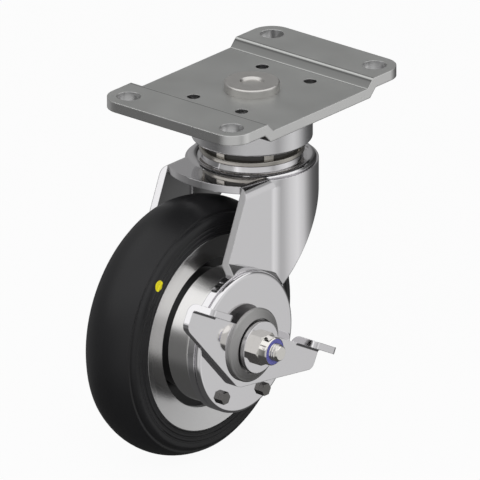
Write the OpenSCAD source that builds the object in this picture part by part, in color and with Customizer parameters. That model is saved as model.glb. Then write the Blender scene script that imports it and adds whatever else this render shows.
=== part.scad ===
// Swivel castor with a pressed fork, a plain wheel and a rocking foot brake.
// Origin: king pin axis at the top face of the raised plate ends. +Z up,
// +X is the direction of travel, the wheel trails towards -X, brake on -Y.
// Millimetres.

/* [Mounting plate] */
// plate length along the travel
plate_len = 150; // [130:1:180]
// plate width
plate_wid = 100; // [90:1:130]
// plate sheet thickness
plate_t = 6; // [4:0.5:8]
// plan radius of the plate corners
plate_corner_r = 13; // [6:0.5:16]
// step up from the middle of the plate to its ends
joggle_h = 5; // [3:0.5:6]
// half length of the sunk middle of the plate
joggle_in = 41; // [38:0.5:48]
// length of the sloped step along the travel
joggle_run = 4.8; // [3:0.2:8]
// bolt spacing along the travel
bolt_sx = 125; // [110:1:140]
// bolt spacing across
bolt_sy = 75; // [65:1:84]
// bolt hole diameter
bolt_d = 13.5; // [9:0.5:15]
// weld hole spacing along the travel
weld_sx = 60; // [54:1:66]
// weld hole spacing across
weld_sy = 35; // [30:1:40]
// weld hole diameter
weld_d = 7.3; // [5:0.1:8]

/* [King pin and housing] */
// king pin shank diameter
pin_d = 16; // [12:1:18]
// king pin head diameter
pin_head_d = 31.5; // [26:0.5:36]
// king pin head height
pin_head_h = 4.8; // [3:0.2:6]
// diameter of the dimple in the pin head
pin_dimple_d = 13.6; // [8:0.2:15]
// depth of the dimple in the pin head
pin_dimple_h = 1.3; // [0.5:0.1:2]
// pin length left below its nut
pin_tail = 2.6; // [1:0.2:4]
// bearing housing outer diameter
housing_d = 68.4; // [67.6:0.2:71]
// bearing housing height
housing_h = 21.7; // [18:0.1:26]
// wall of the housing skirt
housing_wall = 4; // [3:0.5:4.5]
// height of the housing skirt round the race
housing_skirt = 7.7; // [6:0.1:10]
// king pin nut, across flats
pin_nut_af = 24; // [22:1:27]
// king pin nut height
pin_nut_h = 8; // [6:0.5:9]

/* [Swivel bearing] */
// swivel ball diameter
ball_d = 9; // [8:0.5:9.5]
// pitch radius of the swivel balls
ball_pitch_r = 19.5; // [19:0.1:20]
// number of swivel balls
ball_n = 12; // [8:1:12]
// inner radius of both races
race_in_r = 13; // [12.6:0.1:14]
// radial step from the housing's bore in to the lower race
race_inset = 0.5; // [0.2:0.1:1]
// lower race thickness
race_t = 3; // [2:0.5:4]
// open height between housing and lower race
race_gap = 5.2; // [4.4:0.1:5.6]
// number of upright tabs on the lower race
tab_n = 6; // [4:1:8]
// tab width
tab_w = 5.6; // [4:0.2:8]
// tab thickness
tab_t = 1.2; // [0.8:0.1:2]
// distance of the tabs in from the race's edge
tab_inset = 1.9; // [1.5:0.1:2.3]
// radial wall of the dust seal
seal_t = 1.5; // [1:0.1:1.6]
// thrust ball diameter
thrust_ball_d = 6; // [5:0.5:6]
// pitch radius of the thrust balls
thrust_pitch_r = 16.5; // [16:0.1:17]
// number of thrust balls
thrust_n = 14; // [8:1:14]
// thrust washer outer diameter
thrust_d = 42; // [40:1:44]
// thrust washer thickness
thrust_t = 4; // [3:0.5:5]
// wall of the king pin bush
pin_bush_t = 3.8; // [2:0.2:4.4]

/* [Fork] */
// fork sheet thickness
fork_t = 4.5; // [4:0.1:5]
// radius of the round fork head
head_r = 37.6; // [36:0.2:40]
// outer face of the near leg from the middle plane
leg_y = 32.7; // [31:0.1:34]
// outer face of the far leg from the middle plane
far_leg_y = 30.2; // [28:0.1:34]
// radius of the far leg's round end
far_end_r = 21.5; // [20:0.1:22]
// radius that blends the flat legs into the round head
blend_r = 15; // [4:1:20]
// rise of the middle of the head that carries the race
head_rise = 3.5; // [2.5:0.1:4.5]
// distance of that rise in from the race's edge
rise_inset = 2.3; // [1:0.1:3]
// distance of the pressed bead in from the round head
bead_inset = 4.3; // [3.8:0.1:4.6]
// height of the pressed bead
bead_h = 1.2; // [0.6:0.1:1.8]
// outside bend radius between roof and legs
fork_bend_r = 6; // [5.2:0.2:8]
// radius of the roof's front edge about the king pin
roof_r = 50; // [47:0.5:53]
// where the front edge crosses the bend
leg_front_x = -42.4; // [-45:0.1:-40]
// fall of the leg's front edge for each step back
leg_front_slope = 2.33; // [2:0.01:2.8]
// fall of the rear skirt edge for each step back
skirt_slope = 1.21; // [1.05:0.01:1.3]
// distance of the skirt edge's line from the axle
skirt_off = 18.9; // [16:0.1:22]

/* [Leg ends] */
// radius of the round leg end
tip_r = 41; // [40:0.2:43]
// outward step of the round leg end
tip_step = 5.6; // [5.2:0.1:6]
// radius of the pressed wall above the leg end
step_r = 41.3; // [41.2:0.1:44]
// distance of the upper bend line from the axle
step_line = 40.9; // [40:0.1:43]
// radius of the pocket pressed in behind the step
pocket_r = 39.4; // [39.3:0.1:39.8]

/* [Axle] */
// distance of the axle behind the king pin
trail = 55.7; // [52:0.1:60]
// axle height below the plate's top face
axle_drop = 130.1; // [128:0.1:136]
// axle bolt diameter
bolt_shank_d = 10; // [8:0.5:11]
// axle bolt and nut, across flats
hex_af = 17; // [15:0.5:19]
// bolt head height
bolt_head_h = 6.4; // [5:0.2:8]
// height of the nut's hexagon
nut_hex_h = 4.9; // [4:0.1:8]
// height of the nut's round collar
nut_collar_h = 5.2; // [3:0.1:6]
// diameter of the nut's round collar
nut_collar_d = 16.4; // [15.4:0.1:16.6]
// outer diameter of the nylon insert
nylon_d = 15; // [13:0.1:15.2]
// bolt length left beyond the nut
bolt_tail = 4.6; // [2:0.1:8]
// nut washer diameter
nut_washer_d = 29.8; // [26:0.2:31]
// nut washer thickness
nut_washer_t = 3; // [2:0.5:4]
// far washer diameter
far_washer_d = 21; // [19:0.5:30]
// far washer thickness
far_washer_t = 2; // [1.5:0.5:3]
// axle sleeve outer diameter
sleeve_d = 15; // [13:0.5:15.5]
// outer diameter of the spacer tubes
spacer_d = 19.4; // [18:0.2:20]

/* [Wheel] */
// wheel diameter
wheel_d = 150; // [140:1:158]
// tyre width over the side walls
tyre_w = 37; // [34:0.5:39]
// radius of the tyre's crown across the tread
crown_r = 29; // [24:0.5:40]
// half width of the tread at its shoulders
shoulder_y = 17.6; // [15:0.1:18.4]
// radius of the rounded shoulders
shoulder_r = 3; // [1:0.5:5]
// outer radius of the metal rim
rim_r = 56.9; // [54:0.1:60]
// inner radius of the rim's flange
rim_in_r = 43.5; // [42.5:0.1:46]
// rim wall thickness
rim_t = 5; // [3:0.5:7]
// thickness of the wheel's web
web_t = 9; // [6:0.5:12]
// hub outer diameter
hub_d = 44; // [40:0.5:48]
// hub length from the middle towards the far leg
hub_far = 18.4; // [18:0.1:22]
// hub length from the middle towards the brake
hub_near = 14.4; // [14:0.1:16]
// ribs moulded on each tyre side wall
side_ribs = 3; // [2:1:4]

/* [Wheel bearings] */
// bearing outer diameter
brg_d = 35; // [33:0.5:36]
// bearing width
brg_w = 11; // [9:0.5:12]
// radial wall of each bearing ring
brg_ring = 2.8; // [2.4:0.1:3]
// number of balls in each bearing
brg_n = 8; // [6:1:8]

/* [Brake] */
// brake drum outer radius
drum_r = 34.6; // [34:0.1:35]
// wall of the brake drum
drum_wall = 3; // [2.6:0.1:3.4]
// distance of the drum's open edge from the middle
drum_out = 26; // [25:0.1:26.4]
// thickness of the drum's base
drum_base_t = 3; // [2.4:0.1:3.4]
// gap between the hub and the drum's base
drum_hub_gap = 4.5; // [3.5:0.1:4.8]
// drum rivet diameter
drum_rivet_d = 3.2; // [2.6:0.1:3.6]
// drum rivet head diameter
drum_rivet_head_d = 4.6; // [4.2:0.1:5]
// drum rivet head height
drum_rivet_head_h = 1.4; // [0.8:0.1:1.6]
// radius of the rounded outer drum edge
drum_round = 2; // [1:0.1:2.4]
// drum shield outer radius
shield_r = 39; // [38.6:0.1:39.2]
// drum shield sheet thickness
shield_t = 1.6; // [1:0.1:2]
// distance of the shield's open edge from the middle
shield_in = 18.2; // [17.6:0.1:19]
// radius of the shield's rounded corner
shield_round = 3; // [2.2:0.1:5]
// brake cover thickness
cover_t = 3.9; // [3:0.1:5]
// rivet hexagon, across flats
rivet_af = 6.6; // [6:0.1:7.5]
// rivet head height above the cover
rivet_h = 3; // [2:0.1:3.6]
// first rivet, along the travel from the axle
rivet_a_x = -21; // [-23:0.1:-19]
// first rivet, height from the axle
rivet_a_z = -26.4; // [-28:0.1:-25]
// second rivet, along the travel from the axle
rivet_b_x = 14.4; // [13:0.1:16]
// second rivet, height from the axle
rivet_b_z = -32.2; // [-34:0.1:-31]
// lever sheet thickness
lever_t = 4; // [3:0.1:5]
// tilt of the lever as it stands
lever_tilt = 27.9; // [24:0.1:30]
// half length of the lever
lever_half = 61.8; // [56:0.2:70]
// height of the lever's outer ends
lever_end_h = 11.4; // [9:0.2:14]
// upper edge of the lever plate above the axle
lever_top = 12.4; // [10:0.1:15]
// lowest point of the lever below the axle
lever_low = 24.5; // [22:0.1:26]
// foot pad length
pad_len = 21.8; // [18:0.2:28]
// how far the foot pads stand out from the lever's face
pad_out = 13; // [10:0.5:22]
// corner radius of the foot pads
pad_corner_r = 3.5; // [1:0.5:6]
// outside bend radius of the foot pads
pad_bend_r = 5.5; // [4.5:0.1:7]
// hub ring outer diameter
hub_ring_d = 42.8; // [38:0.2:46]
// inner diameter of the hub ring's face
hub_ring_in_d = 31.8; // [30.6:0.2:34]
// height of the hub ring's rim above the lever
hub_ring_rim = 1.8; // [1:0.1:2.6]
// extra height of the hub ring's face at its inner edge
hub_ring_cone = 1.7; // [0.5:0.1:2]
// cam sleeve outer diameter
cam_sleeve_d = 20; // [18.6:0.2:22]
// cam sleeve square, across flats
cam_square = 16.6; // [15.8:0.1:17]
// cam radius at its round sides
cam_r = 12.4; // [11.8:0.1:12.6]
// half width of the cam over its flats
cam_flat = 11.9; // [11:0.1:12]
// radius of the shoe linings at rest
lining_r = 30.5; // [30.2:0.1:30.6]
// lining thickness
lining_t = 3; // [2:0.1:4]
// shoe rim thickness
shoe_t = 3.4; // [2.5:0.1:4]
// shoe width
shoe_w = 8; // [6:0.5:9]
// shoe pin diameter
shoe_pin_d = 6; // [5:0.5:6]
// half spacing of the shoe pins
shoe_pin_x = 6; // [5.8:0.1:7]
// drop of the shoe pins below the axle
shoe_pin_z = 22.6; // [22:0.1:23]
// return spring wire diameter
spring_wire = 1.6; // [1:0.1:2]

/* [Clearances] */
// radial clearance of a turning fit
run_gap = 0.08; // [0.03:0.01:0.1]
// gap between faces that slide past each other
face_gap = 0.3; // [0.2:0.05:0.5]
// radial clearance of a fixed fit
fix_gap = 0.02; // [0.01:0.01:0.05]
// free play round clearance holes
play = 0.4; // [0.2:0.05:0.6]

/* [Hidden] */
$fn = 96;
e = 0.01;
// heights below the plate's top face
mid_top = -joggle_h;
mid_low = mid_top - plate_t;
housing_low = mid_low - housing_h;
race_top = housing_low - race_gap;
race_low = race_top - race_t;
head_top = race_low - head_rise;
head_low = head_top - fork_t;
rise_low = race_low - fork_t;
ball_r = ball_d / 2;
ball_z = race_top - 1.1 + ball_r;
upper_race_low = ball_z + 1.7;
upper_race_top = housing_low + housing_skirt;
tb_r = thrust_ball_d / 2;
tb_z = rise_low + 0.8 - tb_r;
thrust_top = tb_z - 1.4;
thrust_low = thrust_top - thrust_t;
pin_nut_low = thrust_low - pin_nut_h;
pin_r = pin_d / 2;
bush_r = pin_r + pin_bush_t;
race_r = housing_d / 2 - housing_wall - race_inset;
tab_r = race_r - tab_inset;
head_rise_r = race_r - rise_inset;
bead_r = head_r - bead_inset;
// the head wall meets the flat legs here
wall_x = -sqrt(head_r * head_r - leg_y * leg_y);
far_wall_x = -sqrt(head_r * head_r - far_leg_y * far_leg_y);
ax = -trail;
az = -axle_drop;
// distances out from the middle plane, along -Y for the near side
leg_in = leg_y - fork_t;
step_k = fork_t * tan(22.5);
tip_out = leg_y + tip_step;
tip_in = tip_out - fork_t;
cover_out = tip_out + cover_t;
lever_in = cover_out + face_gap / 2;
lever_out = lever_in + lever_t;
ring_rim_out = lever_out + hub_ring_rim;
ring_face_out = ring_rim_out + hub_ring_cone;
washer_in = ring_face_out + face_gap;
washer_out = washer_in + nut_washer_t;
nut_out = washer_out + nut_hex_h + nut_collar_h;
bolt_end = nut_out + bolt_tail;
far_in = far_leg_y - fork_t;
far_seat = far_leg_y + far_washer_t;
tip_bore = cam_sleeve_d / 2 + run_gap;
sleeve_r = sleeve_d / 2;
shank_r = bolt_shank_d / 2;
hex_r = hex_af / sqrt(3);
tyre_y = tyre_w / 2;
rim_y = tyre_y + 0.1;
wheel_r = wheel_d / 2;
brg_far = hub_far - 0.4;
brg_near = hub_near - 0.4;
brg_mid = (brg_d / 2 + sleeve_r) / 2;
brg_ball = brg_d / 2 - sleeve_r - 2 * brg_ring + 1.6;
shoe_in = drum_out - 0.6 - shoe_w;
skirt_z0 = az - skirt_off * sqrt(1 + skirt_slope * skirt_slope) + skirt_slope * trail;

// ---------- helpers ----------
// axle frame: x along the travel, y up, z out towards the brake side
module at_axle() translate([ax, 0, az]) rotate([90, 0, 0]) children();
// the same frame turned to the lever
module at_lever() at_axle() rotate([0, 0, -lever_tilt]) children();
module disc(r, z0, z1) translate([0, 0, z0]) cylinder(r = r, h = z1 - z0);
module tube(ro, ri, z0, z1) difference() { disc(ro, z0, z1); disc(ri, z0 - 1, z1 + 1); }
// round block from z0 to z1 with its outer corner rounded to c
module cup(r, z0, z1, c) translate([0, 0, z0]) rotate_extrude() union() {
  square([r, z1 - z0 - c]);
  square([r - c, z1 - z0]);
  translate([r - c, z1 - z0 - c]) circle(r = c);
}
module hex(af, z0, z1) translate([0, 0, z0]) cylinder(r = af / sqrt(3), h = z1 - z0, $fn = 6);
module rounded(l, w, r) union() {
  square([l - 2 * r, w], center = true);
  square([l, w - 2 * r], center = true);
  for (i = [-1, 1], j = [-1, 1]) translate([i * (l / 2 - r), j * (w / 2 - r)]) circle(r = r);
}
// unit vector from a to b
function dir(a, b) = (b - a) / norm(b - a);
// corner of an outline rounded to radius r, turned in steps
function corner(a, b, c, r) = r <= 0 ? [b] :
  let (u = dir(b, a), v = dir(b, c), h = acos(max(-1, min(1, u * v))) / 2,
       m = b + dir([0, 0], u + v) * (r / sin(h)), s = b + u * (r / tan(h)), f = b + v * (r / tan(h)),
       a0 = atan2(s[1] - m[1], s[0] - m[0]), a1 = atan2(f[1] - m[1], f[0] - m[0]),
       d = a1 - a0 > 180 ? a1 - a0 - 360 : a1 - a0 < -180 ? a1 - a0 + 360 : a1 - a0)
  [for (k = [0 : 6]) m + r * [cos(a0 + d * k / 6), sin(a0 + d * k / 6)]];
// closed outline with a radius for each corner
function round_path(p, r) = let (n = len(p))
  [for (i = [0 : n - 1]) each corner(p[(i + n - 1) % n], p[i], p[(i + 1) % n], r[i])];

// ---------- fixed group ----------
module top_plate() {
  k = plate_t * tan(atan2(joggle_h, joggle_run) / 2);
  x0 = joggle_in;
  x1 = joggle_in + joggle_run;
  xe = plate_len / 2;
  color("silver") difference() {
    intersection() {
      translate([0, plate_wid / 2, 0]) rotate([90, 0, 0]) linear_extrude(plate_wid) polygon([
        [-xe, 0], [-x1, 0], [-x0, mid_top], [x0, mid_top], [x1, 0], [xe, 0],
        [xe, -plate_t], [x1 + k, -plate_t], [x0 + k, mid_low], [-x0 - k, mid_low], [-x1 - k, -plate_t], [-xe, -plate_t]]);
      translate([0, 0, mid_low - 1]) linear_extrude(joggle_h + plate_t + 2) rounded(plate_len, plate_wid, plate_corner_r);
    }
    for (i = [-1, 1], j = [-1, 1]) {
      translate([i * bolt_sx / 2, j * bolt_sy / 2, 0]) disc(bolt_d / 2, mid_low, 1);
      translate([i * weld_sx / 2, j * weld_sy / 2, 0]) disc(weld_d / 2, mid_low - 1, 1);
    }
    disc(pin_r + fix_gap, mid_low - 1, 1);
  }
}

module king_pin() color("gray") difference() {
  union() {
    translate([0, 0, mid_top]) rotate_extrude() union() {
      square([pin_head_d / 2, pin_head_h - 1]);
      square([pin_head_d / 2 - 1, pin_head_h]);
      translate([pin_head_d / 2 - 1, pin_head_h - 1]) circle(r = 1);
    }
    disc(pin_r, pin_nut_low - pin_tail + 1, mid_top + 1);
    translate([0, 0, pin_nut_low - pin_tail]) cylinder(r1 = pin_r - 1, r2 = pin_r, h = 1);
  }
  translate([0, 0, mid_top + pin_head_h - pin_dimple_h]) cylinder(r1 = pin_dimple_d / 2 - 1.2, r2 = pin_dimple_d / 2, h = pin_dimple_h + e);
}

module bearing_housing() color("lightgray") difference() {
  translate([0, 0, housing_low]) rotate_extrude() union() {
    translate([0, 1]) square([housing_d / 2, housing_h - 1]);
    square([housing_d / 2 - 1, housing_h]);
    translate([housing_d / 2 - 1, 1]) circle(r = 1);
  }
  disc(housing_d / 2 - housing_wall, housing_low - 1, upper_race_top);
  disc(pin_r + play, housing_low - 1, mid_low + 1);
}

module upper_race() color("dimgray") difference() {
  tube(housing_d / 2 - housing_wall - fix_gap, race_in_r, upper_race_low, upper_race_top);
  translate([0, 0, ball_z]) rotate_extrude() translate([ball_pitch_r, 0]) circle(r = ball_r + 0.15);
}

module thrust_washer() color("dimgray") difference() {
  tube(thrust_d / 2, pin_r + fix_gap, thrust_low, thrust_top);
  translate([0, 0, tb_z]) rotate_extrude() translate([thrust_pitch_r, 0]) circle(r = tb_r + 0.15);
}

module king_pin_nut() color("gray") difference() {
  hex(pin_nut_af, pin_nut_low, thrust_low);
  disc(pin_r + fix_gap, pin_nut_low - 1, thrust_low + 1);
}

// ---------- fork group ----------
function front_x(z) = leg_front_x + (z - head_top) / leg_front_slope;
function skirt_z(x) = skirt_z0 + skirt_slope * x;
// foot of the skirt line's perpendicular from the axle
skirt_foot_x = ax + skirt_off * skirt_slope / sqrt(1 + skirt_slope * skirt_slope);

// feet of the perpendiculars from the axle to the leg's two edges
front_off = ((ax - leg_front_x) * -leg_front_slope + az - head_top) / -sqrt(1 + leg_front_slope * leg_front_slope);
front_foot = front_off * [-leg_front_slope, 1] / sqrt(1 + leg_front_slope * leg_front_slope);
skirt_foot = skirt_off * [skirt_slope, -1] / sqrt(1 + skirt_slope * skirt_slope);

// side outline of a leg in axle coordinates, up to the head's wall at x
module leg_outline(x) polygon([[leg_front_x - ax, head_top - az], front_foot, [0, -14],
  skirt_foot, [x - ax, skirt_z(x) - az], [x - ax, head_top - az]]);

module fork_head() {
  rise = head_rise_r;
  rotate_extrude() difference() {
    union() {
      translate([0, head_low]) square([head_r - fork_bend_r, fork_t]);
      translate([0, head_low]) square([head_r, fork_t - fork_bend_r + fork_t]);
      intersection() {
        translate([head_r - fork_bend_r, head_top - fork_bend_r]) circle(r = fork_bend_r);
        translate([head_r - fork_bend_r, head_low]) square([fork_bend_r + 1, fork_t + 1]);
      }
      translate([0, rise_low]) square([rise, fork_t]);
      polygon([[rise - e, race_low], [rise + 1.4, head_top], [rise - e, head_top]]);
      intersection() {
        translate([bead_r, head_top - (2.6 * 2.6 - bead_h * bead_h) / (2 * bead_h)]) circle(r = (2.6 * 2.6 + bead_h * bead_h) / (2 * bead_h));
        translate([bead_r - 3, head_top - 1]) square([6, 4]);
      }
    }
    translate([-1, head_low - 1]) square([head_rise_r - fork_t / 2 + 1, rise_low - head_low + 1]);
    translate([head_r, head_low - 1]) square([5, 1]);
    translate([-1, head_low - 5]) square([bush_r + fix_gap + 1, 20]);
  }
}

// all that lies below the skirt line
module below_skirt() at_axle() translate([0, 0, -head_r - 1]) linear_extrude(2 * head_r + 2) polygon([
  [-60, skirt_z(ax - 60) - az], [head_r - ax + 5, skirt_z(head_r + 5) - az], [head_r - ax + 5, -160], [-60, -160]]);

// round wall of the head, with a soft blend into each flat leg
module fork_wall() difference() {
  union() {
    difference() {
      tube(head_r, head_r - fork_t, skirt_z(wall_x), head_low + 1);
      translate([-head_r - 2, -head_r - 2, skirt_z(wall_x) - 2]) cube([wall_x + head_r + 2, head_r + 2, 200]);
      translate([-head_r - 2, 0, skirt_z(wall_x) - 2]) cube([far_wall_x + head_r + 2, head_r + 2, 200]);
    }
    for (q = [[-1, leg_y, wall_x], [1, far_leg_y, far_wall_x]]) {
      c = [-sqrt(pow(head_r + blend_r, 2) - pow(q[1] + blend_r, 2)), q[0] * (q[1] + blend_r)];
      t = c * head_r / (head_r + blend_r);
      translate([0, 0, skirt_z(wall_x)]) linear_extrude(head_top - fork_bend_r - skirt_z(wall_x)) difference() {
        polygon([[c[0], q[0] * (q[1] - 0.5)], [c[0], q[0] * q[1]], [q[2], q[0] * (q[1] + 2)], t, t * 0.98, [q[2], q[0] * (q[1] - 1)]]);
        translate(c) circle(r = blend_r);
      }
    }
  }
  below_skirt();
}

// one flat leg with its half of the roof, bent from one channel
module fork_side(s, ly, wx) intersection() {
  translate([-100, 0, 0]) rotate([90, 0, 90]) linear_extrude(100 + wx) union() {
    translate([s > 0 ? -5 : -ly, -200]) square([ly + 5, 200 + head_top - fork_bend_r]);
    translate([s > 0 ? -5 : -ly + fork_bend_r, -200]) square([ly + 5 - fork_bend_r, 200 + head_top]);
    translate([s * (ly - fork_bend_r), head_top - fork_bend_r]) circle(r = fork_bend_r);
  }
  union() {
    difference() {
      translate([0, 0, head_low]) linear_extrude(fork_t) union() {
        intersection() {
          circle(r = roof_r);
          translate([-roof_r - 1, -leg_y]) square([roof_r + 1 + wx, 2 * leg_y]);
        }
        translate([leg_front_x, -leg_y]) square([wx - leg_front_x, 2 * leg_y]);
      }
      disc(bead_r - 2.8, head_low - 1, head_top + 1);
    }
    difference() {
      at_axle() translate([0, 0, s < 0 ? ly - fork_t : -ly]) linear_extrude(fork_t) leg_outline(wx);
      if (s < 0) at_axle() {
        disc(pocket_r, leg_in - 1, ly + 1);
        under_step();
      }
    }
  }
}

// space behind the bent step at the near leg's front edge, one sheet in from its outside
module under_step() rotate([0, 0, atan(leg_front_slope)]) translate([0, 60, 0]) rotate([90, 0, 0]) linear_extrude(60) polygon([
  [-60, leg_in - 1], [step_line - step_k + 1, leg_in - 1], [step_line - step_k - tip_step, tip_in], [-60, tip_in]]);

// round end of the near leg, stepped outwards over the drum shield
module near_end() at_axle() difference() {
  union() {
    disc(tip_r, tip_in, tip_out);
    intersection() {
      translate([0, 0, leg_in]) linear_extrude(tip_out - leg_in) leg_outline(wall_x);
      union() {
        disc(step_r, leg_in, tip_out);
        // sloped face from the straight bend line down to the round wall
        rotate([0, 0, atan(leg_front_slope)]) translate([0, 60, 0]) rotate([90, 0, 0]) linear_extrude(120) polygon([
          [10, leg_in], [step_line, leg_in], [step_line, leg_y], [step_line - tip_step, tip_out], [10, tip_out]]);
      }
    }
  }
  disc(pocket_r, leg_in - 1, tip_in);
  under_step();
  disc(tip_bore, tip_in - 1, tip_out + 1);
  for (p = [[rivet_a_x, rivet_a_z], [rivet_b_x, rivet_b_z]]) translate(p) disc(rivet_shank_r + fix_gap, tip_in - 1, tip_out + 1);
  for (i = [-1, 1]) translate([i * shoe_pin_x, -shoe_pin_z]) disc(shoe_pin_d / 2 + fix_gap, tip_in - 1, tip_out - 1);
}

module fork() color("gainsboro") difference() {
  union() {
    fork_head();
    fork_wall();
    fork_side(-1, leg_y, wall_x);
    fork_side(1, far_leg_y, far_wall_x);
    near_end();
    at_axle() disc(far_end_r, -far_leg_y, -far_in);
  }
  translate([0, 0, tb_z]) rotate_extrude() translate([thrust_pitch_r, 0]) circle(r = tb_r + 0.02);
  at_axle() disc(shank_r + fix_gap, -far_leg_y - 1, -far_in + 1);
}

module lower_race() color("silver") union() {
  difference() {
    translate([0, 0, race_low]) rotate_extrude() union() {
      translate([race_in_r, 0]) square([race_r - race_in_r - 0.8, race_t]);
      translate([race_in_r, 0.8]) square([race_r - race_in_r, race_t - 1.6]);
      for (k = [0.8, race_t - 0.8]) translate([race_r - 0.8, k]) circle(r = 0.8);
    }
    translate([0, 0, ball_z]) rotate_extrude() translate([ball_pitch_r, 0]) circle(r = ball_r + 0.02);
  }
  for (k = [0 : tab_n - 1]) rotate([0, 0, k * 360 / tab_n]) intersection() {
    tube(tab_r, tab_r - tab_t, race_top - 0.5, race_top + race_gap - 0.5);
    translate([0, -tab_w / 2, race_top - 1]) cube([tab_r + 2, tab_w, race_gap + 2]);
  }
}

module swivel_balls() color("white")
  for (k = [0 : ball_n - 1]) rotate([0, 0, (k + 0.5) * 360 / ball_n]) translate([ball_pitch_r, 0, ball_z]) sphere(r = ball_r, $fn = 32);

module dust_seal() color("black")
  tube(tab_r - tab_t - fix_gap, tab_r - tab_t - fix_gap - seal_t, race_top, upper_race_low - face_gap);

module thrust_balls() color("white")
  for (k = [0 : thrust_n - 1]) rotate([0, 0, k * 360 / thrust_n]) translate([thrust_pitch_r, 0, tb_z]) sphere(r = tb_r, $fn = 32);

module pin_bush() color("goldenrod") tube(bush_r, pin_r + run_gap, thrust_top + face_gap, race_low - 0.2);

rivet_shank_r = 2.2;

module axle_bolt() color("gray") at_axle() union() {
  hex(hex_af, -far_seat - bolt_head_h, -far_seat);
  disc(shank_r, -far_seat - 1, bolt_end - 1);
  translate([0, 0, bolt_end - 1]) cylinder(r1 = shank_r, r2 = shank_r - 1, h = 1);
}

module bolt_washer() color("silver") at_axle() tube(far_washer_d / 2, shank_r + fix_gap, -far_seat, -far_leg_y);

module axle_sleeve() color("silver") at_axle() tube(sleeve_r, shank_r + fix_gap, -far_in, washer_in);

module axle_spacers() color("darkgray") at_axle() {
  tube(spacer_d / 2, sleeve_r + fix_gap, -far_in, -brg_far);
  tube(spacer_d / 2, sleeve_r + fix_gap, -brg_far + brg_w, brg_near - brg_w);
  tube(spacer_d / 2, sleeve_r + fix_gap, brg_near, shoe_in - face_gap);
}

module ring_groove(z) translate([0, 0, z]) rotate_extrude() translate([brg_mid, 0]) circle(r = brg_ball / 2 + run_gap);

module bearing_inner_rings() color("silver") at_axle() for (z = [-brg_far + brg_w / 2, brg_near - brg_w / 2]) difference() {
  tube(sleeve_r + brg_ring, sleeve_r + fix_gap, z - brg_w / 2, z + brg_w / 2);
  ring_groove(z);
}

module bearing_outer_rings() color("silver") at_axle() for (z = [-brg_far + brg_w / 2, brg_near - brg_w / 2]) difference() {
  tube(brg_d / 2, brg_d / 2 - brg_ring, z - brg_w / 2, z + brg_w / 2);
  translate([0, 0, z]) rotate_extrude() translate([brg_mid, 0]) circle(r = brg_ball / 2 + 0.02);
}

module bearing_balls() color("white") at_axle() for (z = [-brg_far + brg_w / 2, brg_near - brg_w / 2])
  for (k = [0 : brg_n - 1]) rotate([0, 0, k * 360 / brg_n]) translate([brg_mid, 0, z]) sphere(r = brg_ball / 2, $fn = 32);

module nut_washer() color("silver") at_axle() tube(nut_washer_d / 2, shank_r + fix_gap, washer_in, washer_out);

module lock_nut() color("gray") at_axle() difference() {
  union() {
    intersection() {
      hex(hex_af, washer_out, washer_out + nut_hex_h);
      translate([0, 0, washer_out]) cylinder(r1 = hex_r + nut_hex_h * 1.2 + 0.4, r2 = hex_r - 1, h = nut_hex_h);
    }
    disc(nut_collar_d / 2, washer_out + nut_hex_h - 1, nut_out);
  }
  disc(shank_r + fix_gap, washer_out - 1, nut_out + 1);
  disc(nylon_d / 2 + fix_gap, washer_out + nut_hex_h, nut_out + 1);
}

module nylon_insert() color("slateblue") at_axle() tube(nylon_d / 2, shank_r + fix_gap, washer_out + nut_hex_h, nut_out - 0.2);

// spun cup over the drum, held by the shoe pins against the leg end
module drum_shield() color("gainsboro") at_axle() difference() {
  cup(shield_r, shield_in, tip_in, shield_round);
  cup(shield_r - shield_t, shield_in - 1, tip_in - shield_t, shield_round - shield_t);
  disc(cam_sleeve_d / 2 + 4, tip_in - 5, tip_in + 1);
  for (i = [-1, 1]) translate([i * shoe_pin_x, -shoe_pin_z]) disc(shoe_pin_d / 2 + fix_gap, tip_in - 5, tip_in + 1);
}

module brake_cover() color("whitesmoke") at_axle() difference() {
  translate([0, 0, tip_out]) rotate_extrude() union() {
    square([tip_r - cover_t / 2, cover_t]);
    translate([tip_r - cover_t / 2, cover_t / 2]) circle(r = cover_t / 2);
  }
  disc(tip_bore, tip_out - 1, cover_out + 1);
  for (p = [[rivet_a_x, rivet_a_z], [rivet_b_x, rivet_b_z]]) translate(p) disc(rivet_shank_r + fix_gap, tip_out - 1, cover_out + 1);
}

module cover_rivets() color("dimgray") at_axle() for (p = [[rivet_a_x, rivet_a_z], [rivet_b_x, rivet_b_z]]) translate(p) {
  disc(rivet_shank_r, tip_in, cover_out + 1);
  hex(rivet_af, cover_out, cover_out + rivet_h);
}

module shoe_pins() color("gray") at_axle() for (i = [-1, 1]) translate([i * shoe_pin_x, -shoe_pin_z]) disc(shoe_pin_d / 2, shoe_in, tip_out - 1);

// ---------- wheel group ----------
module tyre() color([0.16, 0.16, 0.17]) at_axle() difference() {
  rotate_extrude() difference() {
    intersection() {
      union() {
        translate([rim_r - 5, -tyre_y]) square([wheel_r - shoulder_drop - shoulder_r - rim_r + 5, tyre_w]);
        translate([rim_r - 5, -tyre_y + shoulder_r]) square([wheel_r - rim_r + 6, tyre_w - 2 * shoulder_r]);
        for (i = [-1, 1]) translate([wheel_r - shoulder_drop - shoulder_r, i * (tyre_y - shoulder_r)]) circle(r = shoulder_r);
      }
      translate([wheel_r - crown_r, 0]) union() {
        circle(r = crown_r);
        translate([-20, -tyre_y - 1]) square([20 + crown_r - shoulder_drop - shoulder_r, tyre_w + 2]);
      }
    }
    // fine ribs moulded in both side walls
    for (i = [-1, 1], k = [0 : side_ribs - 1]) translate([rim_r + 1.4 + k * 2.6, i * (tyre_y + 0.35)]) circle(r = 0.8, $fn = 24);
  }
  disc(rim_r, -tyre_y - 1, tyre_y + 1);
}
shoulder_drop = crown_r - sqrt(crown_r * crown_r - shoulder_y * shoulder_y);

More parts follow.
